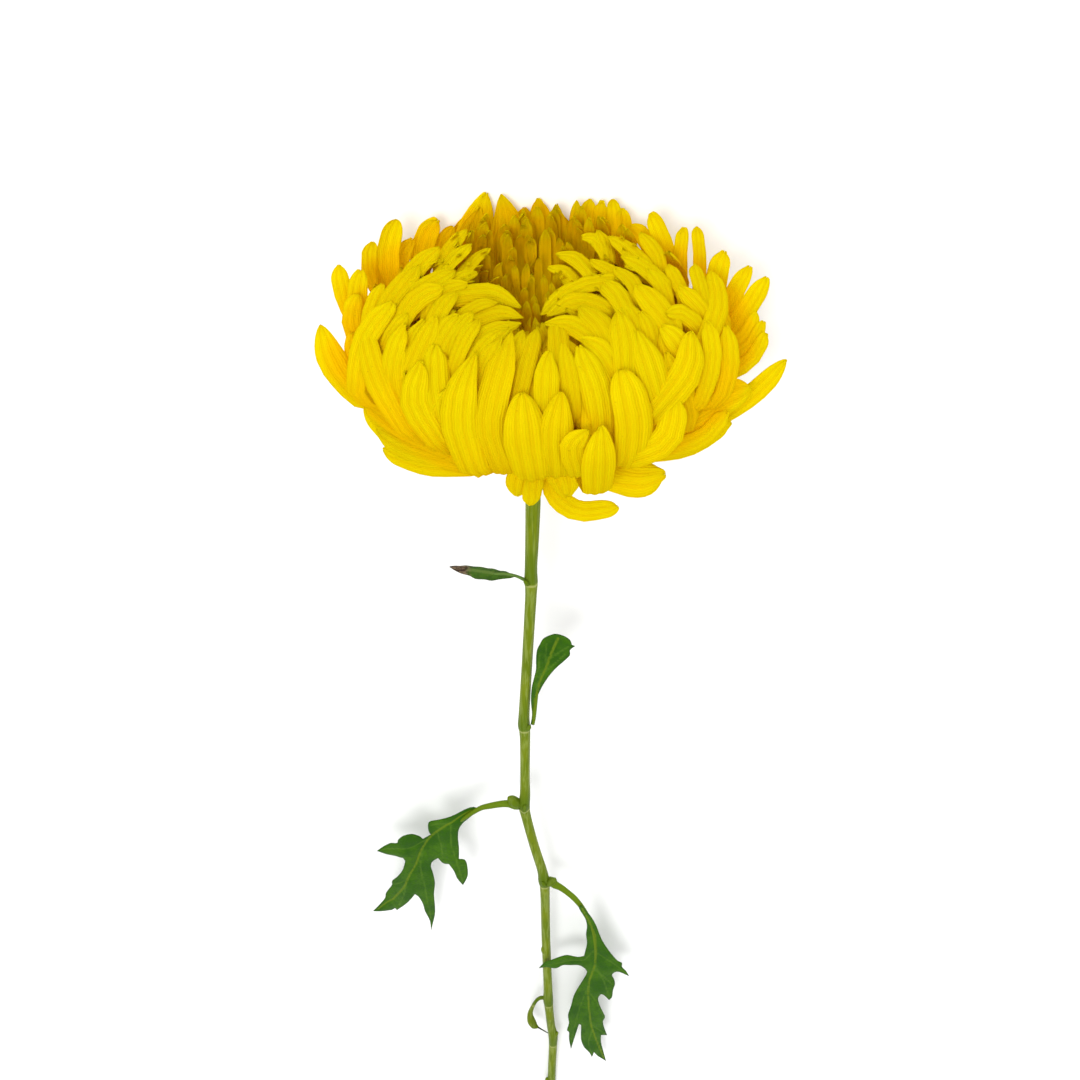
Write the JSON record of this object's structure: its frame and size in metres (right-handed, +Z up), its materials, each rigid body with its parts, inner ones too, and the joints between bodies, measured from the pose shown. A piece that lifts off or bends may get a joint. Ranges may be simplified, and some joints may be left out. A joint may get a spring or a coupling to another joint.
{
  "type": "disbud chrysanthemum",
  "caption": "Single cut chrysanthemum with a large yellow incurved bloom, a green calyx, a long bending stem, lobed leaves and a short side shoot, lying on its side.",
  "frame": {"origin": "centre of the bounding box's bottom face, on the table's surface that the flower lies on", "axes": "+Y along the lying flower from the cut end of the stem towards the bloom, +X to the right in the picture, +Z up from the table"},
  "size_m": [0.1386, 0.4348, 0.0879],
  "materials": {
    "petal_yellow": "soft satin petal",
    "calyx_green": "matte",
    "stem_green": "matte, finely ribbed",
    "leaf_green": "matte",
    "dry_leaf": "matte, dry"
  },
  "bodies": {
    "root": {"bloom": "petal_yellow", "calyx": "calyx_green", "stem": "stem_green", "leaf_1": "dry_leaf", "leaf_2": "leaf_green", "leaf_3": "leaf_green", "leaf_4": "leaf_green", "side_shoot": "stem_green"}
  },
  "joints": []
}
